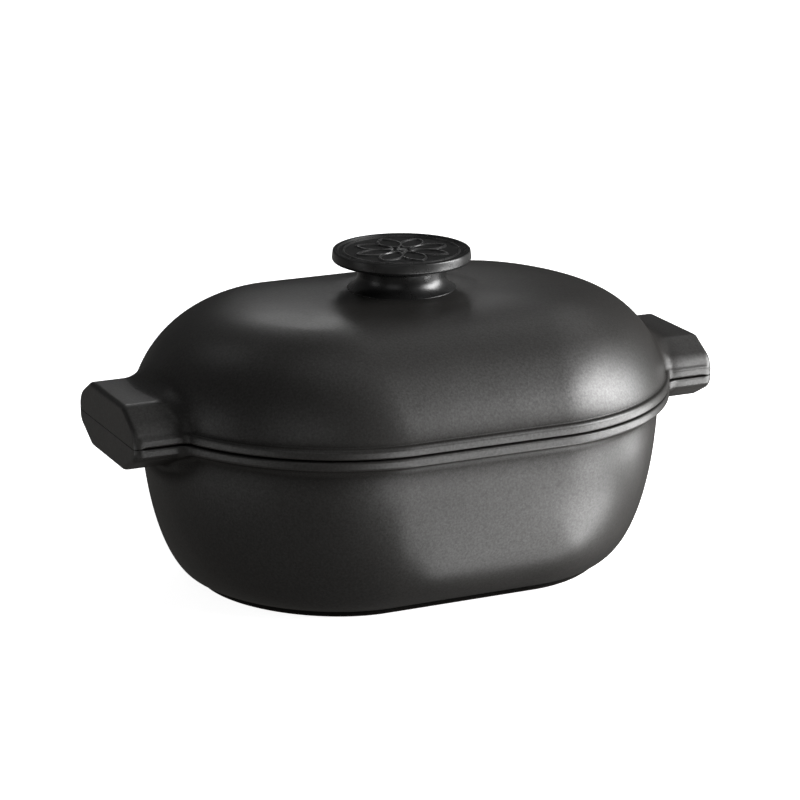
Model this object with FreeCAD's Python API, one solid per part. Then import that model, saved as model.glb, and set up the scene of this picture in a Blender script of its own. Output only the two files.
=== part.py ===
import FreeCAD, Part
import math
import os

# Oval covered casserole in black stoneware: a deep dish, a domed lid that lifts off, and a round
# knob held on the lid by a screw from inside.  Every end handle is split at the rim: the lower half
# belongs to the dish and the upper half to the lid.
# Millimetres.  +X runs along the handles, -Y is the front, +Z is up, and the dish stands on z = 0
# with the origin at the centre of its foot.

Vector = FreeCAD.Vector
UP = Vector(0, 0, 1)

# ---- driving dimensions -------------------------------------------------------------------------
OVERALL_LENGTH = 390.0          # over the two handles
RIM_HEIGHT = 111.0              # where dish and lid part
RIM_HALF_LENGTH = 174.2
RIM_HALF_WIDTH = 129.5
RIM_STRAIGHT = 50.5             # half length of the straight front and back
END_POWER = 1.87                # 2 would make the ends true half ellipses

FOOT_HEIGHT = 4.0
FOOT_INSET = 42.4               # from the rim outline in to the foot
FOOT_RECESS = 1.5               # the underside is hollowed by this, inside the foot ring
FOOT_RING_WIDTH = 12.0
FOOT_BEVEL = 1.0
WALL_INSET = 7.0                # from the rim outline in to the wall just under the rim
WALL = 6.5                      # stoneware thickness
DISH_BAND = 6.5                 # height of the rim bead on the dish
LID_BAND = 7.0                  # height of the rim bead on the lid
BEAD_ROUND = 1.2                # softened edge where the two beads meet
BEAD_FALL = 2.0                 # height over which the dish's bead falls back to the wall
BEAD_TOP_REACH = 2.0            # the lid's bead runs this far into the dome
BEAD_TOP_RISE = 0.6             # and rises by this on the way

DOME_INSET = 2.8                # from the rim outline in to the foot of the dome
DOME_HEIGHT = 59.7              # above the lid's bead
DOME_SIDE_POWER = 3.3           # the dome's profile is u^a + (z/h)^b = 1
DOME_RISE_POWER = 1.45
DOME_LENGTH_POWER = 0.62        # the dome shortens more slowly than it narrows
DOME_STRAIGHT_GAIN = 0.6        # its straight sides lengthen towards the crown
CROWN_WIDTH = 0.14              # the crown is flat over this share of the dome's width

LIP_DEPTH = 6.0                 # locating lip under the lid
LIP_THICK = 5.0
LIP_BEVEL = 1.0
LIP_CLEARANCE = 1.5
LIP_ROOT = 6.0                  # height of the thick ring that carries the lip

HANDLE_HALF_WIDTH = 49.8        # at the split, on the flat end
HANDLE_FLARE = 0.6              # half-width gained from the end in to HANDLE_REACH
HANDLE_UPPER_BAND = (49.4, 8.8)     # half-width, and height above the split, where the facet starts
HANDLE_UPPER_FACE = (29.3, 22.0)    # and where it meets the flat top
HANDLE_LOWER_BAND = (49.0, -5.6)
HANDLE_LOWER_FACE = (28.2, -18.6)
HANDLE_EDGE_ROUND = 3.0
HANDLE_REACH = 60.0             # length of each handle block, most of it inside the wall

KNOB_RADIUS = 43.1
KNOB_TOP = RIM_HEIGHT + 91.3
KNOB_RIM = 7.0                  # thickness of the disc at its edge
KNOB_EDGE = 1.0                 # bevel on the disc's two edges
KNOB_UNDER_ROUND = 2.5          # width of the lower bevel on the disc's underside
KNOB_UNDER_SLOPE = 1.2          # the underside dips this far towards the stem
KNOB_BORDER = 3.6               # raised border round the top
KNOB_BORDER_SLOPE = 0.6
KNOB_RECESS = 1.2
KNOB_STEM_RADIUS = 27.0
KNOB_NECK = 3.5                 # bevel between the stem and the disc
KNOB_BASE_RADIUS = 36.0
KNOB_BASE_EDGE = 0.8            # thickness of the flare's outer edge
KNOB_FLARE_HEIGHT = 9.0         # above the seat, where the flare leaves the stem
KNOB_FLARE_MID = (2.6, 3.4)     # a point on the flare: out from the stem, above the seat
SEAT_STEP = 0.4                 # the seat stands this far above the dome's crown
SEAT_MARGIN = (0.5, 4.0)        # seat radius beyond the knob's base, at its top and at its foot
SEAT_DEPTH = 3.0
KNOB_SEAT = RIM_HEIGHT + LID_BAND + DOME_HEIGHT + SEAT_STEP

GASKET_RADIUS = 29.0
GASKET_THICK = 1.0
LID_HOLE_RADIUS = 4.0
SCREW_RADIUS = 3.0
SCREW_CLEARANCE = 0.06
SCREW_HEAD_RADIUS = 6.0
SCREW_HEAD_HEIGHT = 3.4
SCREW_SOCKET = 4.0              # across the flats of the hexagon socket
SCREW_REACH = 12.0              # into the knob
SCREW_HEAD_ROUND = 1.6
SCREW_SOCKET_SHARE = 0.6        # of the head's height
INSERT_RADIUS = 5.2
INSERT_LENGTH = 14.0
INSERT_END = 1.0                # closed end of the insert
WASHER_RADIUS = 11.0
WASHER_THICK = 1.5
WASHER_CLEARANCE = 0.3
SEAL_RADIUS = 9.5
SEAL_THICK = 1.2

# ---- sizes worked out from them -----------------------------------------------------------------
HALF_LENGTH = OVERALL_LENGTH / 2
INNER_INSET = WALL_INSET + WALL                 # rim outline in to the cavity at the rim
CAVITY_FLOOR = FOOT_HEIGHT + WALL
CAVITY_FLOOR_INSET = FOOT_INSET + WALL
LIP_OUTER_INSET = INNER_INSET + LIP_CLEARANCE
LIP_INNER_INSET = LIP_OUTER_INSET + LIP_THICK
INNER_DOME_INSET = DOME_INSET + WALL
INNER_DOME_HEIGHT = DOME_HEIGHT - WALL

POINTS_PER_QUARTER = 9
POINTS_PER_STRAIGHT = 3
WALL_SECTIONS = 10
DOME_SECTIONS = 14
STRAIGHT_LIMIT = 0.6            # longest straight side, as a share of the outline's half length
OVERLAP = 1.0                   # solids run this far into each other, and cuts this far past a face
SMALL = 1e-3


# ---- outlines -----------------------------------------------------------------------------------
def quarter(half_length, half_width, straight, power):
    """Points from the end of the oval round to the start of its straight side."""
    points = []
    for i in range(POINTS_PER_QUARTER):
        angle = math.pi / 2 * i / POINTS_PER_QUARTER
        x = straight + (half_length - straight) * math.cos(angle) ** (2 / power)
        y = half_width * math.sin(angle) ** (2 / power)
        points.append((x, y))
    return points


def oval(half_length, half_width, z, straight=RIM_STRAIGHT, power=END_POWER):
    """Closed outline with straight sides and rounded ends, as one smooth periodic curve."""
    corner = quarter(half_length, half_width, straight, power)
    back = []
    for i in range(POINTS_PER_STRAIGHT + 1):
        back.append((straight - 2 * straight * i / POINTS_PER_STRAIGHT, half_width))
    half = corner + back + [(-x, y) for x, y in reversed(corner[1:])]
    points = half + [(-x, -y) for x, y in half]
    curve = Part.BSplineCurve()
    curve.interpolate(
        Points=[Vector(x, y, z) for x, y in points],
        PeriodicFlag=True,
        Parameters=[float(i) for i in range(len(points) + 1)],
    )
    return Part.Wire([curve.toShape()])


def inset_oval(inset, z):
    """The rim outline moved inwards."""
    return oval(RIM_HALF_LENGTH - inset, RIM_HALF_WIDTH - inset, z)


def stack(steps):
    """Solid through (inset, z) outlines, straight from each to the next."""
    return Part.makeLoft([inset_oval(inset, z) for inset, z in steps], True, True)


def disc(radius, bottom, top):
    return Part.makeCylinder(radius, top - bottom, Vector(0, 0, bottom), UP)


def ring(outer, inner, bottom, top):
    return disc(outer, bottom, top).cut(disc(inner, bottom, top))


# ---- shells -------------------------------------------------------------------------------------
def bowl(inset_low, inset_high, low, high):
    """Solid whose wall is a quarter ellipse in section, from a narrow floor to a wide rim."""
    wires = []
    for i in range(WALL_SECTIONS + 1):
        angle = math.pi / 2 * i / WALL_SECTIONS
        inset = inset_low - (inset_low - inset_high) * math.sin(angle)
        wires.append(inset_oval(inset, low + (high - low) * (1 - math.cos(angle))))
    return Part.makeLoft(wires, True, False)


def dome(inset, base, height):
    """Solid dome: flat crown, full shoulders, straighter sides towards the crown."""
    last = math.acos(CROWN_WIDTH ** (DOME_SIDE_POWER / 2))
    wires = []
    for i in range(DOME_SECTIONS + 1):
        angle = last * math.sin(math.pi / 2 * i / DOME_SECTIONS)
        narrow = math.cos(angle) ** (2 / DOME_SIDE_POWER)
        half_length = (RIM_HALF_LENGTH - inset) * narrow ** DOME_LENGTH_POWER
        straight = RIM_STRAIGHT * (1 + DOME_STRAIGHT_GAIN * (1 - narrow))
        wires.append(oval(
            half_length,
            (RIM_HALF_WIDTH - inset) * narrow,
            base + height * math.sin(angle) ** (2 / DOME_RISE_POWER),
            min(straight, half_length * STRAIGHT_LIMIT),
        ))
    return Part.makeLoft(wires, True, False)


# ---- handles ------------------------------------------------------------------------------------
def handle_section(x, flare, band, face):
    """Half of the handle's outline at x: a nearly upright band, a facet and a flat face."""
    corners = [(HANDLE_HALF_WIDTH, 0), band, face]
    right = [(y + flare, z) for y, z in corners]
    outline = right + [(-y, z) for y, z in reversed(right)] + right[:1]
    return Part.makePolygon([Vector(x, y, RIM_HEIGHT + z) for y, z in outline])


def handle_half(side, band, face):
    """One handle's upper or lower half, running in from its flat end."""
    end = handle_section(side * HALF_LENGTH, 0, band, face)
    root = handle_section(side * (HALF_LENGTH - HANDLE_REACH), HANDLE_FLARE, band, face)
    block = Part.makeLoft([end, root], True, True)
    rounded = [edge for edge in block.Edges if away_from_split(edge) and away_from_root(edge)]
    return block.makeFillet(HANDLE_EDGE_ROUND, rounded)


def away_from_split(edge):
    """True unless the whole edge lies in the plane where dish and lid part."""
    return any(abs(vertex.Z - RIM_HEIGHT) > SMALL for vertex in edge.Vertexes)


def away_from_root(edge):
    """True unless the whole edge lies in the handle's inner end."""
    return any(abs(vertex.X) > HALF_LENGTH - HANDLE_REACH + SMALL for vertex in edge.Vertexes)


# ---- stoneware ----------------------------------------------------------------------------------
def pot_body():
    """Dish with its foot ring, rim bead, cavity and the lower halves of both handles."""
    foot = stack([(FOOT_INSET + FOOT_BEVEL, 0), (FOOT_INSET, FOOT_BEVEL), (FOOT_INSET, FOOT_HEIGHT)])
    wall = bowl(FOOT_INSET, WALL_INSET, FOOT_HEIGHT, RIM_HEIGHT)
    bead = stack([
        (WALL_INSET - OVERLAP, RIM_HEIGHT - DISH_BAND - BEAD_FALL),
        (BEAD_ROUND, RIM_HEIGHT - DISH_BAND),
        (0, RIM_HEIGHT - DISH_BAND + BEAD_ROUND),
        (0, RIM_HEIGHT - BEAD_ROUND),
        (BEAD_ROUND, RIM_HEIGHT),
    ])
    body = wall.fuse([foot, bead])
    for side in (-1, 1):
        body = body.fuse(handle_half(side, HANDLE_LOWER_BAND, HANDLE_LOWER_FACE))
    cavity = bowl(CAVITY_FLOOR_INSET, INNER_INSET, CAVITY_FLOOR, RIM_HEIGHT)
    mouth = stack([(INNER_INSET, RIM_HEIGHT - OVERLAP), (INNER_INSET, RIM_HEIGHT + OVERLAP)])
    recess_inset = FOOT_INSET + FOOT_RING_WIDTH
    recess = stack([(recess_inset, -OVERLAP), (recess_inset, FOOT_RECESS)])
    return body.cut(cavity).cut(mouth).cut(recess).removeSplitter()


def lid_shell():
    """Domed lid with its rim bead, locating lip, knob seat and the upper halves of both handles."""
    shell = dome(DOME_INSET, RIM_HEIGHT + LID_BAND, DOME_HEIGHT)
    bead = stack([
        (BEAD_ROUND, RIM_HEIGHT),
        (0, RIM_HEIGHT + BEAD_ROUND),
        (0, RIM_HEIGHT + LID_BAND - BEAD_ROUND),
        (BEAD_ROUND, RIM_HEIGHT + LID_BAND),
        (DOME_INSET + BEAD_TOP_REACH, RIM_HEIGHT + LID_BAND + BEAD_TOP_RISE),
    ])
    lip = stack([
        (LIP_OUTER_INSET + LIP_BEVEL, RIM_HEIGHT - LIP_DEPTH),
        (LIP_OUTER_INSET, RIM_HEIGHT - LIP_DEPTH + LIP_BEVEL),
        (LIP_OUTER_INSET, RIM_HEIGHT + OVERLAP),
    ])
    seat_top, seat_foot = [KNOB_BASE_RADIUS + margin for margin in SEAT_MARGIN]
    seat = Part.makeCone(seat_foot, seat_top, SEAT_DEPTH, Vector(0, 0, KNOB_SEAT - SEAT_DEPTH), UP)
    body = shell.fuse([bead, lip, seat])
    for side in (-1, 1):
        body = body.fuse(handle_half(side, HANDLE_UPPER_BAND, HANDLE_UPPER_FACE))
    hollow = dome(INNER_DOME_INSET, RIM_HEIGHT + LID_BAND, INNER_DOME_HEIGHT)
    mouth = stack([
        (LIP_INNER_INSET, RIM_HEIGHT - LIP_DEPTH - OVERLAP),
        (LIP_INNER_INSET, RIM_HEIGHT + LIP_ROOT),
        (INNER_DOME_INSET + OVERLAP, RIM_HEIGHT + LIP_ROOT + LID_BAND),
    ])
    hole = disc(LID_HOLE_RADIUS, RIM_HEIGHT, KNOB_TOP)
    return body.cut(hollow).cut(mouth).cut(hole).removeSplitter()


# ---- knob and its fixing ------------------------------------------------------------------------
def knob():
    """Turned knob: recessed disc with a raised border on a stem that flares onto the lid."""
    under = KNOB_TOP - KNOB_RIM
    bed = KNOB_TOP - KNOB_RECESS
    border_foot = KNOB_RADIUS - KNOB_BORDER
    middle = Vector(0, 0, KNOB_SEAT)
    base_low = Vector(KNOB_BASE_RADIUS, 0, KNOB_SEAT)
    base_high = Vector(KNOB_BASE_RADIUS, 0, KNOB_SEAT + KNOB_BASE_EDGE)
    flare_mid = Vector(KNOB_STEM_RADIUS + KNOB_FLARE_MID[0], 0, KNOB_SEAT + KNOB_FLARE_MID[1])
    flare_top = Vector(KNOB_STEM_RADIUS, 0, KNOB_SEAT + KNOB_FLARE_HEIGHT)
    edges = [
        Part.makeLine(middle, base_low),
        Part.makeLine(base_low, base_high),
        Part.Arc(base_high, flare_mid, flare_top).toShape(),
    ]
    outline = [
        flare_top,
        Vector(KNOB_STEM_RADIUS, 0, under - KNOB_NECK),
        Vector(KNOB_STEM_RADIUS + KNOB_NECK, 0, under - KNOB_UNDER_SLOPE),
        Vector(KNOB_RADIUS - KNOB_UNDER_ROUND, 0, under),
        Vector(KNOB_RADIUS - KNOB_BORDER_SLOPE, 0, under + KNOB_EDGE),
        Vector(KNOB_RADIUS, 0, KNOB_TOP - KNOB_EDGE),
        Vector(KNOB_RADIUS - KNOB_EDGE, 0, KNOB_TOP),
        Vector(border_foot, 0, KNOB_TOP),
        Vector(border_foot - KNOB_BORDER_SLOPE, 0, bed),
        Vector(0, 0, bed),
        middle,
    ]
    for start, end in zip(outline, outline[1:]):
        edges.append(Part.makeLine(start, end))
    body = Part.Face(Part.Wire(edges)).revolve(Vector(0, 0, 0), UP, 360)
    gasket_space = disc(GASKET_RADIUS, KNOB_SEAT - OVERLAP, KNOB_SEAT + GASKET_THICK)
    insert_space = disc(INSERT_RADIUS, KNOB_SEAT, KNOB_SEAT + GASKET_THICK + INSERT_LENGTH)
    return body.cut(gasket_space).cut(insert_space)


def knob_insert():
    """Threaded brass bush moulded into the knob, thread drawn as a plain bore."""
    bottom = KNOB_SEAT + GASKET_THICK
    bush = disc(INSERT_RADIUS, bottom, bottom + INSERT_LENGTH)
    return bush.cut(disc(SCREW_RADIUS + SCREW_CLEARANCE, bottom, bottom + INSERT_LENGTH - INSERT_END))


def knob_gasket():
    """Soft disc between the knob and the lid."""
    return ring(GASKET_RADIUS, LID_HOLE_RADIUS, KNOB_SEAT, KNOB_SEAT + GASKET_THICK)


def lid_inner_face():
    return RIM_HEIGHT + LID_BAND + INNER_DOME_HEIGHT * inner_crown_rise()


def inner_crown_rise():
    """Share of the dome's height reached where its flat crown begins."""
    angle = math.acos(CROWN_WIDTH ** (DOME_SIDE_POWER / 2))
    return math.sin(angle) ** (2 / DOME_RISE_POWER)


def inner_seal():
    """Soft washer against the inside of the lid."""
    top = lid_inner_face()
    return ring(SEAL_RADIUS, LID_HOLE_RADIUS, top - SEAL_THICK, top)


def steel_washer():
    top = lid_inner_face() - SEAL_THICK
    return ring(WASHER_RADIUS, SCREW_RADIUS + WASHER_CLEARANCE, top - WASHER_THICK, top)


def knob_screw():
    """Button-headed screw with a hexagon socket, thread drawn plain."""
    head_top = lid_inner_face() - SEAL_THICK - WASHER_THICK
    head_low = head_top - SCREW_HEAD_HEIGHT
    head = disc(SCREW_HEAD_RADIUS, head_low, head_top)
    lowest = [edge for edge in head.Edges if edge.BoundBox.ZMax < head_low + SMALL]
    head = head.makeFillet(SCREW_HEAD_ROUND, lowest)
    corner_radius = SCREW_SOCKET / 2 / math.cos(math.pi / 6)
    corners = []
    for i in range(7):
        angle = math.pi / 3 * i
        corners.append(Vector(
            corner_radius * math.cos(angle),
            corner_radius * math.sin(angle),
            head_low,
        ))
    socket_depth = SCREW_HEAD_HEIGHT * SCREW_SOCKET_SHARE
    socket = Part.Face(Part.makePolygon(corners)).extrude(Vector(0, 0, socket_depth))
    shank = disc(SCREW_RADIUS, head_top, KNOB_SEAT + SCREW_REACH)
    return head.cut(socket).fuse(shank).removeSplitter()


NODES = {
    "pot_body": pot_body,
    "lid_shell": lid_shell,
    "knob": knob,
    "knob_insert": knob_insert,
    "knob_gasket": knob_gasket,
    "inner_seal": inner_seal,
    "steel_washer": steel_washer,
    "knob_screw": knob_screw,
}

os.makedirs("parts", exist_ok=True)
for name, make in NODES.items():
    shape = make()
    shape.exportStep("parts/" + name + ".step")
    print(name, "solids", len(shape.Solids), "valid", shape.isValid(), "cm3", round(shape.Volume / 1000, 1))
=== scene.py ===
import math

import bmesh
import bpy
import numpy as np
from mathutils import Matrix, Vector


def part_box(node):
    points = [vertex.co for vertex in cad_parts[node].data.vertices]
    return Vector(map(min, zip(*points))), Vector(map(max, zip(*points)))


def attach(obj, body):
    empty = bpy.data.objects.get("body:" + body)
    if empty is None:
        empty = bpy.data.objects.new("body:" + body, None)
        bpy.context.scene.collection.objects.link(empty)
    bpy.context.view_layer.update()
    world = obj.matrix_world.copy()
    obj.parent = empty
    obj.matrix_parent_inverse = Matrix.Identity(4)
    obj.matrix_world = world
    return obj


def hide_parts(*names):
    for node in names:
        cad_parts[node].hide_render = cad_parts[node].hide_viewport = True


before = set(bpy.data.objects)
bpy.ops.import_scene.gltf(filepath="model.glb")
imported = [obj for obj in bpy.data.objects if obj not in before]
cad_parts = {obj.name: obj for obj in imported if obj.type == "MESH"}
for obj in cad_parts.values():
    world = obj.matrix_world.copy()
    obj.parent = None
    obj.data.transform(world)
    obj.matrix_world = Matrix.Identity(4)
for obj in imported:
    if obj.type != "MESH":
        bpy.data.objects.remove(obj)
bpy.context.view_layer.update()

# Covered oval casserole: dish, domed lid and round knob, in metres.  Shapes are worked out in
# millimetres around the CAD boxes and scaled once, when each mesh is made.
MM = 0.001


def box_mm(node):
    low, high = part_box(node)
    return np.array(low) / MM, np.array(high) / MM


DISH_HIGH = box_mm("pot_body")[1]
LID_LOW = box_mm("lid_shell")[0]
KNOB_LOW, KNOB_HIGH = box_mm("knob")

# ---- sizes ---------------------------------------------------------------------------------------
# The rim's oval: two straight sides joined by superelliptic ends.
RIM = DISH_HIGH[2]                      # height where dish and lid part
HALF_LENGTH = DISH_HIGH[0]              # to the end face of a handle
HALF_WIDTH = DISH_HIGH[1]
RIM_HALF_LENGTH = HALF_LENGTH - 20.8    # the handles stand out beyond the oval
RIM_STRAIGHT = 50.5                     # half length of a straight side
END_POWER = 1.875

# Seam and the two rim bands beside it.
SEAM_REST = 0.05                        # half of the gap where the lid sits on the dish
SEAM_GAP = 0.5                          # and where it opens to a groove along the outside
SEAM_ROUND = 1.3
SEAM_END_ROUND = 0.12
SEAM_INSIDE = 5.6                       # rows start this far inside the outline
LID_BAND = 7.0
DISH_BAND = 6.5
LID_BAND_ROUND = 2.6
DISH_BAND_ROUND = 2.0
LID_CREASE = 1.0                        # hollow between a band and the wall beside it
DISH_CREASE = 6.0
HANDLE_CREASE = 0.7

# Lid: dome, locating lip and the flat seat of the knob.
DOME_INSET = 2.8
DOME_HEIGHT = 59.7
DOME_SIDE_POWER = 3.3
DOME_RISE_POWER = 1.45
DOME_LENGTH_POWER = 0.62
DOME_STRAIGHT_GAIN = 0.6
DOME_BASE = RIM + LID_BAND
CROWN_WIDTH = 0.14                      # share of the dome's width where its flat crown begins
SEAT = KNOB_LOW[2]
SCREW_HOLE = 4.0
LEDGE_ROUND = 3.0
LIP_LOW = LID_LOW[2]
LIP_PLAY = 1.5
LIP_THICK = 5.0
LIP_ROUND = 1.6
LIP_ROOT_ROUND = 2.0
LIP_SEAT_ROUND = 1.0

# Dish: wall, cavity and foot ring.
WALL = 6.5
WALL_INSET = 7.0
MOUTH_ROUND = 1.5
FOOT_INSET = 42.4
FOOT_HEIGHT = 4.0
FOOT_RECESS = 1.5
FOOT_RING_WIDTH = 12.0
FOOT_CREASE = 1.2
FOOT_ROUND = 1.0
FOOT_INNER_ROUND = 0.7
CAVITY_FLOOR = FOOT_HEIGHT + WALL
INNER_INSET = WALL_INSET + WALL
LIP_OUTER_INSET = INNER_INSET + LIP_PLAY
LIP_INNER_INSET = LIP_OUTER_INSET + LIP_THICK

# Handles.
HANDLE_BAND_HALF = 49.8
HANDLE_BAND_END = HALF_LENGTH - 1.5
HANDLE_END_ROUND = 3.0
# Half sections as (y, height from the rim): side, edge of the slanting face, edge of the flat face.
HANDLE_UPPER = [(49.3, -4.0), (49.0, 10.4), (29.0, 22.0)]
HANDLE_LOWER = [(49.3, -4.0), (48.9, 7.2), (28.0, 18.6)]
HANDLE_UPPER_ROUND = (14.0, 11.0)       # radius at the side and at the flat face
HANDLE_LOWER_ROUND = (10.0, 18.0)
HANDLE_FILLET_LOW = 6.0                 # between a handle and the wall, near the rim
HANDLE_FILLET_HIGH = 9.0                # and at the handle's flat face
BAND_JOIN = 3.0
HANDLE_ROOT = 165.0                     # x where a handle's side leaves the oval

# Knob: flared stem, neck and a disc whose top has a sunk bed with raised line work.
DISC_THICK = 7.0
STEM_BASE = 29.4
FLARE_SLOPE = math.radians(25)          # of the stem where it leaves the lid
FLARE_RADIUS = 27.2                     # at the top of the flare
FLARE_REACH = 11.4
FLARE_HEIGHT = 10.4
NECK_RADIUS = 27.0
NECK_DROP = 5.2                         # from the disc's underside to where the neck curves out
NECK_ROUND = 4.2
DISC_LOWER_ROUND = 1.9
DISC_UPPER_ROUND = 1.0
DISC_LEAN = 0.45                        # the disc is this much narrower at its top
BED_BORDER = 4.3
BED_DEPTH = 1.2
BED_EDGE_ROUND = 0.9
MOTIF_HEIGHT = 0.95
MOTIF_RING = 35.8
MOTIF_RING_HALF = 0.35                  # half width of the ring's line
PETALS = 8
PETAL_MIDDLE = 18.0                     # radius where a petal is widest
PETAL_HALF = 12.0
PETAL_BULGE = 6.6
PETAL_LINE = 0.7
BOSS_RADIUS = 3.4

# Grid the meshes are cast on.
SPINE_INSET = 28.0                      # columns are cast from a spine this far inside the rim
SPINE_DROP = 8.0
LID_CUT = 36.0                          # above and below the rim, where the handles stop mattering
DISH_CUT = 34.0
SIDE_STEP = 4.5                         # between the columns of a straight side
CORNER_COLUMNS = 6
CAST_ROWS = 76
CAST_SAMPLES = 420
CAST_STEPS = 20
REACH = 80.0
ROW_STEP = 2.2                          # a row for each such length
ROW_TURN = 0.16                         # or such turn, in radians
DOME_ROWS = 40
CROWN_ROWS = 9
BELLY_ROWS = 44
BOWL_ROWS = 50
KNOB_TURNS = 480
BED_RINGS = 130

# Studio, in metres.
STUDIO_RADIUS = 1.8
STUDIO_MIDDLE = (0, 0, 0.11)
KEY = 16.0
AMBIENT = 0.09
FLOOR_SIZE = 12
FLOOR_DROP = 0.0002
FLOOR_GLOW = 0.92
CARD_HEIGHT = 0.003
CAMERA_TURN = math.radians(-24.797)     # to the left of the front
CAMERA_RISE = math.radians(16.404)
CAMERA_AWAY = 1.935785
CAMERA_TARGET = (-0.001043, 0, 0.1051)
CAMERA_LENS = 139.378
CAMERA_SENSOR = 36


# ---- fields: signed distances in mm, negative inside --------------------------------------------
def round_union(a, b, radius):
    return np.maximum(radius, np.minimum(a, b)) - np.hypot(
        np.maximum(radius - a, 0), np.maximum(radius - b, 0))


def round_cut(a, b, radius):
    return np.minimum(-radius, np.maximum(a, b)) + np.hypot(
        np.maximum(radius + a, 0), np.maximum(radius + b, 0))


def smooth(low, high, value):
    share = np.clip((value - low) / (high - low), 0, 1)
    return share * share * (3 - 2 * share)


def oval_level(x, y, length, width, straight):
    """1 on the oval, less inside it."""
    along = np.maximum(np.abs(x) - straight, 0) / (length - straight)
    across = np.abs(y) / width
    return (along ** END_POWER + across ** END_POWER) ** (1 / END_POWER)


def distance(level, x, y, z):
    """Signed distance to the surface level = 1, to first order."""
    step = 0.02
    slope_x = (level(x + step, y, z) - level(x - step, y, z)) / (2 * step)
    slope_y = (level(x, y + step, z) - level(x, y - step, z)) / (2 * step)
    slope_z = (level(x, y, z + step) - level(x, y, z - step)) / (2 * step)
    return (level(x, y, z) - 1) / np.sqrt(slope_x ** 2 + slope_y ** 2 + slope_z ** 2 + 1e-12)


def dome_outline(height, inset, rise):
    """Half length, half width and straight half length of the dome at a height above its foot."""
    share = np.clip(height / rise, 0, 1)
    narrow = (1 - share ** DOME_RISE_POWER) ** (1 / DOME_SIDE_POWER)
    return narrowed(narrow, inset)


def narrowed(narrow, inset):
    length = (RIM_HALF_LENGTH - inset) * narrow ** DOME_LENGTH_POWER
    straight = RIM_STRAIGHT * (1 + DOME_STRAIGHT_GAIN * (1 - narrow))
    return length, (HALF_WIDTH - inset) * narrow, np.minimum(straight, length * 0.6)


def wall_inset(z):
    """Inset of the dish's outside, a quarter ellipse from the foot to the rim."""
    share = np.clip(1 - (z - FOOT_HEIGHT) / (RIM - FOOT_HEIGHT), 0, 1)
    return FOOT_INSET - (FOOT_INSET - WALL_INSET) * np.sqrt(1 - share ** 2)


def rim_level(x, y, z):
    return oval_level(x, y, RIM_HALF_LENGTH, HALF_WIDTH, RIM_STRAIGHT)


def dome_level(x, y, z):
    return oval_level(x, y, *dome_outline(z - DOME_BASE, DOME_INSET, DOME_HEIGHT))


def wall_level(x, y, z):
    inset = wall_inset(z)
    return oval_level(x, y, RIM_HALF_LENGTH - inset, HALF_WIDTH - inset, RIM_STRAIGHT)


def line_distance(start, end, y, height):
    """Signed distance to the line through two points of a half section, negative on the inside."""
    along_y, along_z = np.subtract(end, start) / np.hypot(*np.subtract(end, start))
    return (y - start[0]) * along_z - (height - start[1]) * along_y


def corner_blend(start, middle, end, radius):
    """round_cut radius that gives a corner of a section this radius."""
    first, second = np.subtract(middle, start), np.subtract(end, middle)
    return radius * (1 - first @ second / (np.hypot(*first) * np.hypot(*second)))


def handle_distance(section, rounds, x, y, height):
    """One half of both handles, with rounded edges along it and round its end."""
    low, edge, face = section
    inner = (0, face[1])
    side = line_distance(low, edge, np.abs(y), height)
    slant = line_distance(edge, face, np.abs(y), height)
    flat = height - face[1]
    shape = np.maximum(
        round_cut(side, slant, corner_blend(low, edge, face, rounds[0])),
        round_cut(slant, flat, corner_blend(edge, face, inner, rounds[1])))
    return round_cut(shape, np.abs(x) - HALF_LENGTH, HANDLE_END_ROUND)


def between(start, end, share):
    return start + (end - start) * share


def handle_fillet(height):
    """Radius between a handle and the wall, growing away from the rim."""
    return between(HANDLE_FILLET_LOW, HANDLE_FILLET_HIGH, smooth(10, 22, height))


def crease(x, radius):
    """Radius of the hollow beside a band: wider round the oval, tight along the handles."""
    along_handle = smooth(HANDLE_ROOT - 2, HANDLE_ROOT + 5, np.abs(x))
    return between(radius, HANDLE_CREASE, along_handle)


def seam_share(x):
    """0 along the seam, 1 where it almost closes across the ends of the handles."""
    return smooth(HALF_LENGTH - 8, HALF_LENGTH - 2, np.abs(x))


def seam_round(x):
    return between(SEAM_ROUND, SEAM_END_ROUND, seam_share(x))


def seam_gap(x, outline):
    """Half gap: closed inside, open towards the outline, closed again across the handles' ends."""
    groove = smooth(-5.0, -3.2, outline) * (1 - seam_share(x))
    return between(SEAM_REST, SEAM_GAP, groove)


def band_distance(x, y, z):
    """Outline shared by both rim bands: the oval with a rectangle for each handle."""
    rim = distance(rim_level, x, y, z)
    handle = round_cut(np.abs(y) - HANDLE_BAND_HALF, np.abs(x) - HANDLE_BAND_END, HANDLE_END_ROUND)
    return round_union(rim, handle, BAND_JOIN)


def lid_field(x, y, z):
    outline = band_distance(x, y, z)
    band = round_cut(outline, z - DOME_BASE, LID_BAND_ROUND)
    dome = distance(dome_level, x, y, z)
    handle = handle_distance(HANDLE_UPPER, HANDLE_UPPER_ROUND, x, y, z - RIM)
    body = round_union(dome, handle, handle_fillet(z - RIM))
    solid = round_union(band, body, crease(x, LID_CREASE))
    return round_cut(solid, RIM + seam_gap(x, outline) - z, seam_round(x))


def dish_field(x, y, z):
    outline = band_distance(x, y, z)
    band = round_cut(outline, RIM - DISH_BAND - z, DISH_BAND_ROUND)
    wall = distance(wall_level, x, y, z)
    handle = handle_distance(HANDLE_LOWER, HANDLE_LOWER_ROUND, x, y, RIM - z)
    body = round_union(wall, handle, handle_fillet(RIM - z))
    solid = round_union(band, body, crease(x, DISH_CREASE))
    return round_cut(solid, z - RIM + seam_gap(x, outline), seam_round(x))


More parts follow.
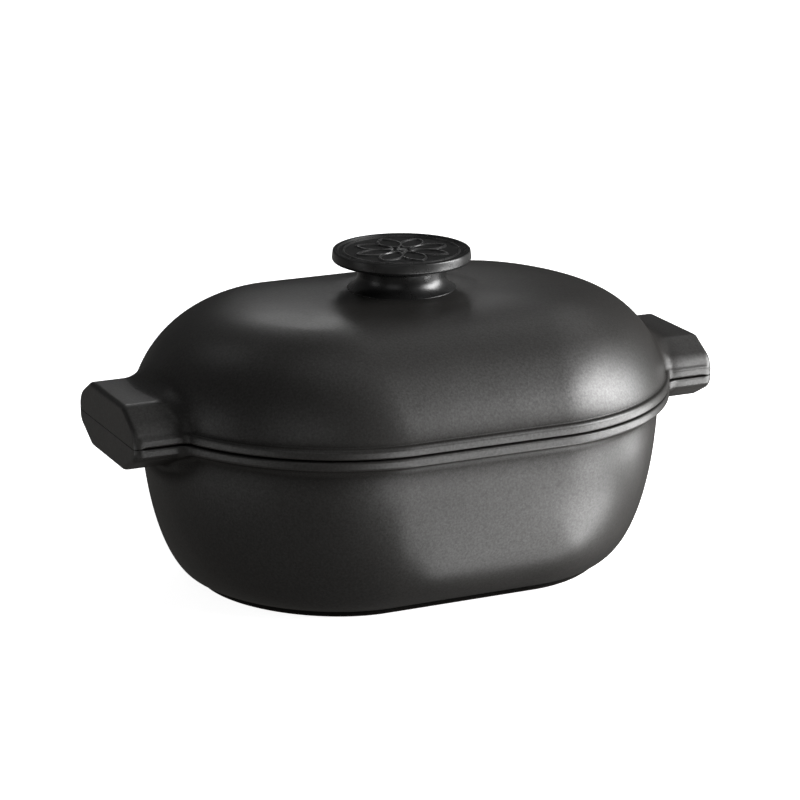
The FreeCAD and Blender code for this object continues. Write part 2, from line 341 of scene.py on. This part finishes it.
# ---- columns: a quarter of the outline, from the middle of the front to the middle of an end ----
def graded(start, end, first, last):
    """Values from start to end whose steps change evenly from first to last, end left out."""
    span = abs(end - start)
    count = max(2, int(round(2 * span / (first + last))))
    steps = np.linspace(first, last, count)
    return start + np.concatenate([[0], np.cumsum(steps)[:-1]]) * (end - start) / steps.sum()


def quarter_columns():
    """Spine points and targets on the outline, as two arrays of (x, y)."""
    targets, spine = [], []
    for x in graded(0, RIM_STRAIGHT, SIDE_STEP, SIDE_STEP):
        targets.append((x, -HALF_WIDTH))
        spine.append((x, -HALF_WIDTH + SPINE_INSET))
    corner = math.asin((HANDLE_BAND_HALF / HALF_WIDTH) ** (END_POWER / 2))
    rim_oval = (RIM_HALF_LENGTH, HALF_WIDTH, RIM_STRAIGHT)
    spine_oval = (RIM_HALF_LENGTH - SPINE_INSET, HALF_WIDTH - SPINE_INSET, RIM_STRAIGHT)
    for angle in graded(math.pi / 2, corner, 0.034, 0.0075):
        targets.append(oval_point(1, angle, *rim_oval))
        spine.append(oval_point(1, angle, *spine_oval))
    root = oval_point(1, corner, *rim_oval)
    near = oval_point(1, corner, *spine_oval)
    far = (RIM_HALF_LENGTH - SPINE_INSET + 4, -HANDLE_BAND_HALF * 0.6)
    side_end = HALF_LENGTH - HANDLE_END_ROUND
    for x in graded(root[0], side_end, 1.0, 1.2):
        share = (x - root[0]) / (side_end - root[0])
        targets.append((x, -HANDLE_BAND_HALF))
        spine.append(tuple(np.array(near) * (1 - share) + np.array(far) * share))
    for turn in np.arange(CORNER_COLUMNS) / CORNER_COLUMNS * math.pi / 2:
        x = side_end + HANDLE_END_ROUND * math.sin(turn)
        y = -HANDLE_BAND_HALF + HANDLE_END_ROUND * (1 - math.cos(turn))
        targets.append((x, y))
        spine.append((far[0], y * 0.6))
    edge = -HANDLE_BAND_HALF + HANDLE_END_ROUND
    facet = -HANDLE_UPPER[2][0]
    inside = [graded(edge, facet - 4, 1.1, 1.6), graded(facet - 4, facet + 4, 0.9, 0.9),
              graded(facet + 4, 0, 1.2, 3.5), [0]]
    for y in np.concatenate(inside):
        targets.append((HALF_LENGTH, y))
        spine.append((far[0], y * 0.6))
    return np.array(spine), np.array(targets)


def oval_point(straight_share, angle, length, width, straight):
    """Point of an oval's front right quarter; the angle is 90 degrees along the straight side."""
    power = 2 / END_POWER
    cos = np.maximum(np.cos(angle), 0)
    x = straight_share * straight + (length - straight) * cos ** power
    return x, -width * np.sin(angle) ** power


def cast(field, spine, targets, level, tilt, stop):
    """Rows of surface points in each column's upright plane, from the seam to the height stop."""
    ahead = targets - spine
    ahead /= np.linalg.norm(ahead, axis=1)[:, None]
    tilts = np.linspace(tilt[0], tilt[1], CAST_SAMPLES)
    flat = np.cos(tilts)[None, :]
    rise = np.sin(tilts)[None, :]
    near = np.zeros((len(spine), CAST_SAMPLES))
    far = near + REACH
    for _ in range(CAST_STEPS):
        middle = (near + far) / 2
        x = spine[:, :1] + ahead[:, :1] * flat * middle
        y = spine[:, 1:] + ahead[:, 1:] * flat * middle
        inside = field(x, y, level + rise * middle) < 0
        near = np.where(inside, middle, near)
        far = np.where(inside, far, middle)
    x = spine[:, :1] + ahead[:, :1] * flat * near
    y = spine[:, 1:] + ahead[:, 1:] * flat * near
    z = level + rise * near
    run = flat * near
    rows = [resample(np.stack(points, 1), out, stop) for *points, out in zip(x, y, z, run)]
    return np.array(rows)


def resample(points, run, stop):
    """Even rows from inside the seam's groove to the height stop, closer on bends."""
    away = np.abs(points[:, 2] - RIM)
    first = int(np.argmax(run > run[away < 1].max() - SEAM_INSIDE))
    last = int(np.argmax(away > abs(stop - RIM)))
    share = (abs(stop - RIM) - away[last - 1]) / (away[last] - away[last - 1])
    end = points[last - 1] + share * (points[last] - points[last - 1])
    line = np.vstack([points[first:last], end])
    steps = np.diff(line, axis=0)
    lengths = np.linalg.norm(steps, axis=1)
    headings = steps / np.maximum(lengths, 1e-9)[:, None]
    turn = np.zeros(len(lengths))
    turn[1:] = np.arccos(np.clip(np.sum(headings[1:] * headings[:-1], 1), -1, 1))
    turn = np.convolve(turn, np.ones(9) / 9, "same")
    measure = np.concatenate([[0], np.cumsum(lengths / ROW_STEP + turn / ROW_TURN)])
    wanted = np.linspace(0, measure[-1], CAST_ROWS)
    return np.stack([np.interp(wanted, measure, line[:, axis]) for axis in range(3)], 1)


def column_parameters(x, y, length, width, straight):
    """Share of the straight side and angle, for points on an oval's front right quarter."""
    angle = np.arctan2(
        (np.abs(y) / width) ** (END_POWER / 2),
        (np.maximum(x - straight, 0) / (length - straight)) ** (END_POWER / 2))
    return np.clip(x / straight, 0, 1), angle


def oval_rows(share, angle, outlines):
    """(columns, rows, 3) points for outlines given as (length, width, straight, z)."""
    rows = []
    for length, width, straight, z in outlines:
        x, y = oval_point(share, angle, length, width, straight)
        rows.append(np.stack([x, y, np.full(x.shape, float(z))], 1))
    return np.stack(rows, 1)


def inset_outlines(profile):
    """Outlines for (inset, z) points measured from the rim."""
    return [(RIM_HALF_LENGTH - inset, HALF_WIDTH - inset, RIM_STRAIGHT, z) for inset, z in profile]


def arc(centre, radius, start, end, count):
    """(inset, z) points round a small arc; angles in degrees."""
    turns = np.radians(np.linspace(start, end, count))
    return [(centre[0] + radius * math.cos(t), centre[1] + radius * math.sin(t)) for t in turns]


# ---- meshes --------------------------------------------------------------------------------------
def full_ring(quarter):
    """Mirrors a quarter, (columns, rows, 3), into a closed ring of columns."""
    right_back = quarter[::-1][1:] * (1, -1, 1)
    left_back = quarter[1:] * (-1, -1, 1)
    left_front = quarter[::-1][1:-1] * (-1, 1, 1)
    return np.concatenate([quarter, right_back, left_back, left_front])


def grid_mesh(name, ring, closed_rows, caps=()):
    """Object from a ring of columns; caps close the first or last row with one flat face."""
    columns, rows = ring.shape[:2]
    index = np.arange(columns * rows).reshape(columns, rows)
    here = index if closed_rows else index[:, :-1]
    above = np.roll(index, -1, 1) if closed_rows else index[:, 1:]
    next_here = np.roll(here, -1, 0)
    next_above = np.roll(above, -1, 0)
    quads = np.stack([here, next_here, next_above, above], -1).reshape(-1, 4)
    faces = quads.tolist()
    if "first" in caps:
        faces.append(index[::-1, 0].tolist())
    if "last" in caps:
        faces.append(index[:, -1].tolist())
    mesh = bpy.data.meshes.new(name)
    mesh.from_pydata((ring.reshape(-1, 3) * MM).tolist(), [], faces)
    mesh.validate()
    mesh.shade_smooth()
    mesh.update()
    piece = bpy.data.objects.new(name, mesh)
    bpy.context.scene.collection.objects.link(piece)
    return piece


def turn_outward(piece):
    """Makes every face look out of the solid."""
    work = bmesh.new()
    work.from_mesh(piece.data)
    bmesh.ops.recalc_face_normals(work, faces=work.faces)
    work.to_mesh(piece.data)
    work.free()
    piece.data.shade_smooth()


def seat_rise(points):
    """Lifts the crown gently to the knob's seat."""
    radius = np.hypot(points[..., 0], points[..., 1])
    lift = 1 - smooth(KNOB_HIGH[0] - 7, KNOB_HIGH[0] + 8, radius)
    points[..., 2] += (SEAT - points[..., 2]) * lift
    return points


def dome_rows(share, angle, inset, rise, start, count):
    """Rows from a height above the dome's foot up to its crown."""
    first = math.asin(min(1, (start / rise) ** (DOME_RISE_POWER / 2)))
    last = math.acos(CROWN_WIDTH ** (DOME_SIDE_POWER / 2))
    outlines = []
    for turn in first + (last - first) * np.sin(np.linspace(0, math.pi / 2, count)):
        outline = narrowed(math.cos(turn) ** (2 / DOME_SIDE_POWER), inset)
        z = DOME_BASE + rise * math.sin(turn) ** (2 / DOME_RISE_POWER)
        outlines.append((*outline, z))
    return oval_rows(share, angle, outlines)


def crown_rows(edge, hole, height, count):
    """Flat rows from the crown's edge in to the screw hole."""
    reach = np.hypot(edge[:, 0], edge[:, 1])[:, None]
    way = edge[:, :2] / reach
    rows = []
    for share in np.linspace(0, 1, count)[1:]:
        flat = edge[:, :2] * (1 - share) + way * hole * share
        rows.append(np.column_stack([flat, np.full(len(edge), height)]))
    return np.stack(rows, 1)


def lid_under_profile():
    """(inset, z) from the foot of the lid's hollow, over the ledge and round the locating lip."""
    ledge = (DOME_INSET + WALL + LEDGE_ROUND, DOME_BASE + LEDGE_ROUND)
    root = (LIP_INNER_INSET - LIP_ROOT_ROUND, DOME_BASE - 0.4 - LIP_ROOT_ROUND)
    tip_inner = (LIP_INNER_INSET - LIP_ROUND, LIP_LOW + LIP_ROUND)
    tip_outer = (LIP_OUTER_INSET + LIP_ROUND, LIP_LOW + LIP_ROUND)
    seat = (LIP_OUTER_INSET - LIP_SEAT_ROUND, RIM + SEAM_REST - LIP_SEAT_ROUND)
    return (arc(ledge, LEDGE_ROUND, 190, 270, 6)
            + [(LIP_INNER_INSET - LEDGE_ROUND, DOME_BASE - 0.4)]
            + arc(root, LIP_ROOT_ROUND, 80, 0, 6)
            + arc(tip_inner, LIP_ROUND, 0, -90, 6)
            + arc(tip_outer, LIP_ROUND, -90, -180, 6)
            + arc(seat, LIP_SEAT_ROUND, 0, 90, 5))


def lid_piece():
    spine, targets = quarter_columns()
    tilt = np.radians([-24, 88])
    outer = cast(lid_field, spine, targets, RIM + SPINE_DROP, tilt, RIM + LID_CUT)
    edge = outer[:, -1]
    cut = LID_CUT - LID_BAND
    outline = dome_outline(cut, DOME_INSET, DOME_HEIGHT)
    share, angle = column_parameters(edge[:, 0], edge[:, 1], *outline)
    upper = dome_rows(share, angle, DOME_INSET, DOME_HEIGHT, cut, DOME_ROWS)[:, 1:]
    crown = crown_rows(upper[:, -1], SCREW_HOLE, SEAT, CROWN_ROWS)
    inner = dome_rows(share, angle, DOME_INSET + WALL, DOME_HEIGHT - WALL, LEDGE_ROUND, DOME_ROWS)
    inner_crown = crown_rows(inner[:, -1], SCREW_HOLE, inner[0, -1, 2], CROWN_ROWS)
    under = oval_rows(share, angle, inset_outlines(lid_under_profile()))
    over = seat_rise(np.concatenate([upper, crown], 1))
    rows = [outer, over, inner_crown[:, ::-1], inner[:, ::-1], under]
    piece = grid_mesh("lid_stoneware", full_ring(np.concatenate(rows, 1)), True)
    turn_outward(piece)
    return piece


def bowl_profile(inset_low, inset_high, low, high, start, end, count):
    """Quarter ellipse from its height start to end, as (inset, z)."""
    first = math.acos(1 - (start - low) / (high - low))
    last = math.acos(1 - (end - low) / (high - low))
    profile = []
    for turn in np.linspace(first, last, count):
        inset = inset_low - (inset_low - inset_high) * math.sin(turn)
        profile.append((inset, low + (high - low) * (1 - math.cos(turn))))
    return profile


def dish_below_profile():
    """(inset, z) from the height stop down the belly, over the foot ring and across its recess."""
    low = FOOT_HEIGHT + 0.12
    belly = bowl_profile(FOOT_INSET, WALL_INSET, FOOT_HEIGHT, RIM, RIM - DISH_CUT, low, BELLY_ROWS)
    ring_inner = FOOT_INSET + FOOT_RING_WIDTH
    return (belly[1:]
            + arc((FOOT_INSET - FOOT_CREASE, FOOT_HEIGHT - 1.1), FOOT_CREASE, 80, 0, 5)
            + arc((FOOT_INSET + FOOT_ROUND, FOOT_ROUND), FOOT_ROUND, 180, 270, 5)
            + arc((ring_inner - FOOT_INNER_ROUND, FOOT_INNER_ROUND), FOOT_INNER_ROUND, 270, 360, 4)
            + [(ring_inner + step, FOOT_RECESS) for step in (0.3, 10, 40)])


def dish_above_profile():
    """(inset, z) from the middle of the cavity's floor up to the mouth."""
    ring_inner = FOOT_INSET + FOOT_RING_WIDTH
    floor = [(ring_inner + step, CAVITY_FLOOR) for step in (40, 10, -2)]
    bowl = bowl_profile(FOOT_INSET + WALL, INNER_INSET, CAVITY_FLOOR, RIM, CAVITY_FLOOR, RIM - 3,
                        BOWL_ROWS)
    mouth = (INNER_INSET - MOUTH_ROUND, RIM - SEAM_REST - MOUTH_ROUND)
    return floor + bowl + arc(mouth, MOUTH_ROUND, 0, 90, 6)


def dish_piece():
    spine, targets = quarter_columns()
    tilt = np.radians([24, -86])
    outer = cast(dish_field, spine, targets, RIM - SPINE_DROP, tilt, RIM - DISH_CUT)
    edge = outer[:, -1]
    inset = float(wall_inset(np.array(RIM - DISH_CUT)))
    outline = (RIM_HALF_LENGTH - inset, HALF_WIDTH - inset, RIM_STRAIGHT)
    share, angle = column_parameters(edge[:, 0], edge[:, 1], *outline)
    below = oval_rows(share, angle, inset_outlines(dish_below_profile()))
    above = oval_rows(share, angle, inset_outlines(dish_above_profile()))
    ring = full_ring(np.concatenate([above, outer, below], 1))
    piece = grid_mesh("dish_stoneware", ring, False, ("first", "last"))
    turn_outward(piece)
    return piece


# ---- knob ----------------------------------------------------------------------------------------
def knob_profile():
    """(radius, z) from the middle of the base round to the border of the top's bed."""
    radius = KNOB_HIGH[0]
    top = KNOB_HIGH[2]
    under = top - DISC_THICK
    neck = (NECK_RADIUS + NECK_ROUND, under - NECK_DROP)
    lower = (radius - DISC_LOWER_ROUND, under + DISC_LOWER_ROUND)
    upper = (radius - DISC_UPPER_ROUND - DISC_LEAN, top - DISC_UPPER_ROUND)
    points = [(STEM_BASE, SEAT)]
    for turn in np.linspace(FLARE_SLOPE, math.pi / 2, 20):
        points.append((FLARE_RADIUS + FLARE_REACH * (1 - math.sin(turn)),
                       SEAT + FLARE_HEIGHT * (math.cos(FLARE_SLOPE) - math.cos(turn))))
    points += arc(neck, NECK_ROUND, 180, 98, 9)
    points += [(radius - 6.0, under - 0.3), (radius - 3.4, under)]
    points += arc(lower, DISC_LOWER_ROUND, -80, 0, 8)
    points += arc(upper, DISC_UPPER_ROUND, 0, 90, 7)
    return points + [(radius - 3.0, top)]


def motif_height(x, y, radius):
    """Raised line work on the knob's bed: a ring, a rosette of petals and a boss in the middle."""
    ring = np.abs(radius - MOTIF_RING) - MOTIF_RING_HALF
    half_turn = math.pi / PETALS
    fold = (np.arctan2(y, x) + half_turn) % (2 * half_turn) - half_turn
    along = radius * np.cos(fold)
    across = np.abs(radius * np.sin(fold))
    bend = (PETAL_HALF ** 2 + PETAL_BULGE ** 2) / (2 * PETAL_BULGE)
    edge = np.hypot(along - PETAL_MIDDLE, across + bend - PETAL_BULGE) - bend
    on_petal = np.abs(along - PETAL_MIDDLE) < PETAL_HALF + 0.5
    petal = np.where(on_petal, np.abs(edge) - PETAL_LINE, REACH)
    boss = radius - BOSS_RADIUS
    return MOTIF_HEIGHT * (1 - smooth(-0.3, 0.3, np.minimum(np.minimum(ring, petal), boss)))


def knob_piece():
    profile = knob_profile()
    bed_edge = KNOB_HIGH[0] - BED_BORDER
    bed_height = KNOB_HIGH[2] - BED_DEPTH
    for turn in np.radians(np.linspace(90, 0, 5)):
        profile.append((bed_edge + BED_EDGE_ROUND * math.sin(turn),
                        bed_height + BED_DEPTH * math.sin(turn)))
    bed = np.linspace(bed_edge - 0.5, 0.6, BED_RINGS)
    radii, heights = np.array(profile + [(radius, bed_height) for radius in bed]).T
    turns = np.linspace(0, 2 * math.pi, KNOB_TURNS + 1)[:-1, None]
    x = radii * np.cos(turns)
    y = radii * np.sin(turns)
    z = heights + 0 * x
    z[:, -BED_RINGS:] += motif_height(x, y, np.hypot(x, y))[:, -BED_RINGS:]
    piece = grid_mesh("knob_moulding", np.stack([x, y, z], -1), False, ("first", "last"))
    turn_outward(piece)
    return piece


# ---- materials -----------------------------------------------------------------------------------
class Nodes:
    """A material's node tree with short calls for adding and linking nodes."""

    def __init__(self, name):
        self.material = bpy.data.materials.new(name)
        self.material.use_nodes = True
        self.tree = self.material.node_tree
        self.shader = self.tree.nodes["Principled BSDF"]

    def add(self, kind, **settings):
        node = self.tree.nodes.new(kind)
        for key, value in settings.items():
            setattr(node, key, value)
        return node

    def link(self, source, target):
        self.tree.links.new(source, target)

    def noise(self, scale, detail=4.0, rough=0.55):
        place = self.add("ShaderNodeTexCoord")
        node = self.add("ShaderNodeTexNoise")
        node.inputs["Scale"].default_value = scale
        node.inputs["Detail"].default_value = detail
        node.inputs["Roughness"].default_value = rough
        self.link(place.outputs["Object"], node.inputs["Vector"])
        return node.outputs["Fac"]

    def range(self, value, low, high, to_low, to_high):
        node = self.add("ShaderNodeMapRange")
        for socket, number in zip(node.inputs[1:5], (low, high, to_low, to_high)):
            socket.default_value = number
        self.link(value, node.inputs[0])
        return node.outputs[0]

    def ramp(self, value, stops):
        node = self.add("ShaderNodeValToRGB")
        elements = node.color_ramp.elements
        while len(elements) < len(stops):
            elements.new(0.5)
        for element, (place, colour) in zip(elements, stops):
            element.position = place
            element.color = (*colour, 1)
        self.link(value, node.inputs[0])
        return node.outputs[0]

    def hollow(self, reach):
        """Ambient occlusion share, used for painted shade: 1 on open surface, towards 0 deep in
        creases and corners; reach in metres.
        """
        node = self.add("ShaderNodeAmbientOcclusion", samples=8, only_local=True)
        node.inputs["Distance"].default_value = reach
        return self.range(node.outputs["AO"], 0.80, 0.995, 0.0, 1.0)

    def edge_on(self, least):
        """Gloss share: 1 seen square on, falling to the least value seen edge on."""
        node = self.add("ShaderNodeLayerWeight")
        node.inputs["Blend"].default_value = 0.5
        return self.range(node.outputs["Facing"], 0.60, 0.90, 1.0, least)

    def times(self, first, second):
        node = self.add("ShaderNodeMath", operation="MULTIPLY")
        self.link(first, node.inputs[0])
        self.link(second, node.inputs[1])
        return node.outputs[0]

    def bump(self, layers):
        """Layers of (height socket, distance in metres), one on the other."""
        last = None
        for height, depth in layers:
            node = self.add("ShaderNodeBump")
            node.inputs["Strength"].default_value = 1.0
            node.inputs["Distance"].default_value = depth
            self.link(height, node.inputs["Height"])
            if last is not None:
                self.link(last.outputs["Normal"], node.inputs["Normal"])
            last = node
        self.link(last.outputs["Normal"], self.shader.inputs["Normal"])


def glaze_material():
    """Matte black: fine grain in its gloss, painted shade in creases where ambient occlusion cuts
    the gloss, dull edge on, with faint pale specks.
    """
    m = Nodes("matte_black_glaze")
    dark, light = (0.0128, 0.0121, 0.0113), (0.0160, 0.0152, 0.0143)
    base = m.ramp(m.noise(14, 3), [(0.3, dark), (0.7, light)])
    speck = m.range(m.noise(1300, 2, 0.6), 0.6, 0.8, 0.0, 1.0)
    mix = m.add("ShaderNodeMix", data_type="RGBA")
    m.link(speck, mix.inputs["Factor"])
    m.link(base, mix.inputs["A"])
    mix.inputs["B"].default_value = (0.035, 0.034, 0.033, 1)
    m.link(mix.outputs["Result"], m.shader.inputs["Base Color"])
    grain = m.noise(700, 2, 0.6)
    # painted shade: ambient occlusion cuts the gloss in creases, under the rim bands and round the
    # handles and the knob's foot
    painted_crease_shade = m.range(m.hollow(0.018), 0.0, 1.0, 0.12, 1.0)
    gloss = m.times(m.range(grain, 0.3, 0.7, 0.38, 0.62), m.times(painted_crease_shade, painted_crease_shade))
    m.link(m.times(gloss, m.edge_on(0.1)), m.shader.inputs["Specular IOR Level"])
    m.link(m.range(m.noise(30, 3), 0.3, 0.7, 0.36, 0.40), m.shader.inputs["Roughness"])
    m.bump([(m.noise(90, 2), 0.00004), (grain, 0.00004)])
    return m.material


def resin_material(name, shade, gloss, rough):
    """Moulded black resin with a faint unevenness in its gloss."""
    m = Nodes(name)
    dark, light = (0.8 * shade,) * 3, (1.2 * shade, 1.2 * shade, 1.18 * shade)
    m.link(m.ramp(m.noise(60), [(0.3, dark), (0.7, light)]), m.shader.inputs["Base Color"])
    m.shader.inputs["Specular IOR Level"].default_value = gloss
    m.link(m.range(m.noise(240, 3), 0.3, 0.7, rough, rough + 0.06), m.shader.inputs["Roughness"])
    m.bump([(m.noise(320, 2), 0.000004)])
    return m.material


def clay_material():
    """Unglazed brown clay, rough and speckled."""
    m = Nodes("bare_clay")
    m.link(m.ramp(m.noise(700, 5), [(0.3, (0.20, 0.15, 0.11)), (0.7, (0.32, 0.25, 0.19))]),
           m.shader.inputs["Base Color"])
    m.shader.inputs["Roughness"].default_value = 0.85
    m.bump([(m.noise(1200, 4), 0.00006)])
    return m.material


def metal_material(name, colour, rough):
    """Plain metal with fine machining unevenness."""
    m = Nodes(name)
    dark = tuple(c * 0.9 for c in colour)
    m.link(m.ramp(m.noise(500), [(0.3, dark), (0.7, colour)]), m.shader.inputs["Base Color"])
    m.shader.inputs["Metallic"].default_value = 1.0
    m.link(m.range(m.noise(1500, 2), 0.3, 0.7, rough, rough + 0.1), m.shader.inputs["Roughness"])
    m.bump([(m.noise(2500, 2), 0.000005)])
    return m.material


def silicone_material():
    m = Nodes("grey_silicone")
    m.link(m.ramp(m.noise(300), [(0.3, (0.045, 0.045, 0.047)), (0.7, (0.06, 0.06, 0.062))]),
           m.shader.inputs["Base Color"])
    m.shader.inputs["Roughness"].default_value = 0.6
    m.bump([(m.noise(1800, 3), 0.00001)])
    return m.material


def finish(piece, *materials):
    piece.data.materials.clear()
    for material in materials:
        piece.data.materials.append(material)


def bare_foot(piece):
    """Gives the underside of the foot ring the piece's second material."""
    for face in piece.data.polygons:
        if face.center.z < 0.3 * MM:
            face.material_index = 1


def dull_flats(piece):
    """Gives the second material to the border and bed of the knob's top, not to its line work."""
    for face in piece.data.polygons:
        reach = math.hypot(face.center.x, face.center.y) / MM
        depth = KNOB_HIGH[2] - face.center.z / MM
        on_top = face.normal.z > 0.9 and reach < KNOB_HIGH[0] - 0.8 and depth < 3
        if on_top and (depth < 0.1 or depth > BED_DEPTH - 0.3 * MOTIF_HEIGHT):
            face.material_index = 1


lid = lid_piece()
glaze = glaze_material()
finish(lid, glaze)
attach(lid, "lid")
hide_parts("lid_shell")

dish = dish_piece()
finish(dish, glaze, clay_material())
bare_foot(dish)
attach(dish, "pot")
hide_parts("pot_body")

knob = knob_piece()
resin = resin_material("black_resin", 0.010, 0.5, 0.26)
matte_resin = resin_material("black_resin_matte", 0.005, 0.04, 0.5)
finish(knob, resin, matte_resin)
dull_flats(knob)
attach(knob, "lid")
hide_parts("knob")

silicone = silicone_material()
steel = metal_material("stainless_steel", (0.62, 0.61, 0.60), 0.28)
kept = {
    "knob_insert": metal_material("machined_brass", (0.70, 0.52, 0.25), 0.25),
    "knob_gasket": silicone,
    "inner_seal": silicone,
    "steel_washer": steel,
    "knob_screw": steel,
}
for node, material in kept.items():
    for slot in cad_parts[node].material_slots:
        slot.material = material


# ---- studio --------------------------------------------------------------------------------------
def floor_material():
    """Pale to the camera; darker in reflections, as a studio table is beyond its lit part."""
    m = Nodes("pale_floor")
    m.link(m.ramp(m.noise(3, 2), [(0.4, (0.86, 0.86, 0.86)), (0.6, (0.88, 0.88, 0.88))]),
           m.shader.inputs["Base Color"])
    m.shader.inputs["Roughness"].default_value = 0.9
    m.shader.inputs["Specular IOR Level"].default_value = 0.0
    m.shader.inputs["Emission Color"].default_value = (1, 1, 1, 1)
    m.shader.inputs["Emission Strength"].default_value = FLOOR_GLOW
    shade = m.add("ShaderNodeBsdfPrincipled")
    shade.inputs["Base Color"].default_value = (0.12, 0.12, 0.12, 1)
    shade.inputs["Specular IOR Level"].default_value = 0.0
    shade.inputs["Emission Color"].default_value = (1, 0.97, 0.92, 1)
    shade.inputs["Emission Strength"].default_value = 0.12
    path = m.add("ShaderNodeLightPath")
    mix = m.add("ShaderNodeMixShader")
    m.link(path.outputs["Is Camera Ray"], mix.inputs[0])
    m.link(shade.outputs[0], mix.inputs[1])
    m.link(m.shader.outputs[0], mix.inputs[2])
    m.link(mix.outputs[0], m.tree.nodes["Material Output"].inputs["Surface"])
    return m.material


def studio_floor():
    bpy.ops.mesh.primitive_plane_add(size=FLOOR_SIZE, location=(0, 0, -FLOOR_DROP))
    floor = bpy.context.object
    floor.name = "studio_floor"
    finish(floor, floor_material())


def softbox(name, place, aim, size, brightness):
    """Rectangular light of a given brightness, unseen by the camera itself."""
    light = bpy.data.lights.new(name, "AREA")
    light.shape = "RECTANGLE"
    light.size, light.size_y = size
    light.energy = brightness * math.pi * size[0] * size[1]
    lamp = bpy.data.objects.new(name, light)
    bpy.context.scene.collection.objects.link(lamp)
    lamp.location = place
    lamp.rotation_euler = (Vector(aim) - Vector(place)).to_track_quat("-Z", "Y").to_euler()
    lamp.visible_camera = False


def direction(turn, rise):
    """Unit vector away from the dish; turn 0 is in front of it and 90 degrees to its right."""
    level = math.cos(rise)
    return Vector((math.sin(turn) * level, -math.cos(turn) * level, math.sin(rise)))


def standing_box(name, turn, rise, size, brightness):
    """Softbox on a ring round the dish, aimed at it; angles in degrees."""
    middle = Vector(STUDIO_MIDDLE)
    place = middle + STUDIO_RADIUS * direction(math.radians(turn), math.radians(rise))
    softbox(name, place, middle, size, brightness)


def floor_card(name, x, y, size, brightness):
    """Bounce card lying on the table, lit by the key light."""
    softbox(name, (x, y, CARD_HEIGHT), (x, y, 1), size, brightness)


def studio_lights():
    """Key light from the front right, faint fills all round, and cards that the glaze reflects."""
    standing_box("key_high", 60, 25, (0.75, 0.7), KEY * 1.05)
    standing_box("key_low", 75, 8, (0.75, 0.7), KEY * 0.70)
    standing_box("key_wing", 45, 22, (0.7, 0.7), KEY * 0.46)
    standing_box("key_foot", 60, 8, (0.7, 0.6), KEY * 0.32)
    standing_box("key_side", 75, 25, (0.7, 0.7), KEY * 0.26)
    standing_box("fill_high", 60, 48, (0.8, 0.8), 1.3)
    standing_box("fill_back_right", 120, 48, (0.8, 0.8), 0.8)
    standing_box("rim_back", 160, 32, (0.5, 0.26), 4.2)
    standing_box("rim_left", 215, 50, (0.6, 0.5), 0.6)
    standing_box("fill_left", 265, 8, (0.6, 0.8), 0.8)
    standing_box("fill_front_left", 315, 20, (1.0, 1.0), 0.5)
    standing_box("fill_top", 0, 85, (1.0, 1.0), 0.5)
    floor_card("card_front", 0.09, -0.185, (0.22, 0.13), 2.8)
    floor_card("card_corner", 0.165, -0.18, (0.14, 0.12), 5.0)
    floor_card("card_mid", 0.12, -0.43, (0.36, 0.24), 6.0)
    floor_card("card_bend", 0.31, -0.31, (0.14, 0.14), 12.0)
    floor_card("card_handle", -0.1, -0.42, (0.14, 0.16), 1.6)
    floor_card("card_right", 0.40, -0.46, (0.18, 0.2), 7.0)
    floor_card("card_end", 0.45, -0.2, (0.24, 0.3), 11.0)
    floor_card("card_far", 0.6, -0.5, (0.22, 0.26), 25.0)
    floor_card("card_side", 0.66, -0.2, (0.18, 0.26), 12.0)
    floor_card("card_left", -0.6, -0.02, (0.3, 0.3), 1.6)
    floor_card("card_rim_left", -0.48, -0.2, (0.2, 0.24), 1.2)
    floor_card("card_back", 0.13, 0.30, (0.36, 0.2), 3.5)


def studio_world():
    """White where the camera sees past the floor, faint as a light."""
    world = bpy.data.worlds.new("studio")
    bpy.context.scene.world = world
    world.use_nodes = True
    tree = world.node_tree
    tree.nodes.clear()
    path = tree.nodes.new("ShaderNodeLightPath")
    seen = tree.nodes.new("ShaderNodeBackground")
    seen.inputs["Color"].default_value = (1, 1, 1, 1)
    lit = tree.nodes.new("ShaderNodeBackground")
    lit.inputs["Color"].default_value = (1, 1, 1, 1)
    lit.inputs["Strength"].default_value = AMBIENT
    mix = tree.nodes.new("ShaderNodeMixShader")
    out = tree.nodes.new("ShaderNodeOutputWorld")
    tree.links.new(path.outputs["Is Camera Ray"], mix.inputs[0])
    tree.links.new(lit.outputs[0], mix.inputs[1])
    tree.links.new(seen.outputs[0], mix.inputs[2])
    tree.links.new(mix.outputs[0], out.inputs["Surface"])


def studio_camera():
    """Looks at the dish from the front, turned a little to the left and raised."""
    camera = bpy.data.objects.new("camera", bpy.data.cameras.new("camera"))
    bpy.context.scene.collection.objects.link(camera)
    camera.location = Vector(CAMERA_TARGET) + CAMERA_AWAY * direction(CAMERA_TURN, CAMERA_RISE)
    camera.rotation_euler = (math.pi / 2 - CAMERA_RISE, 0, CAMERA_TURN)
    camera.data.sensor_width = CAMERA_SENSOR
    camera.data.lens = CAMERA_LENS
    camera.data.clip_start = 0.05
    bpy.context.scene.camera = camera


studio_floor()
studio_world()
studio_camera()
studio_lights()

view = bpy.context.scene.view_settings
view.view_transform = "Standard"
view.look = "None"
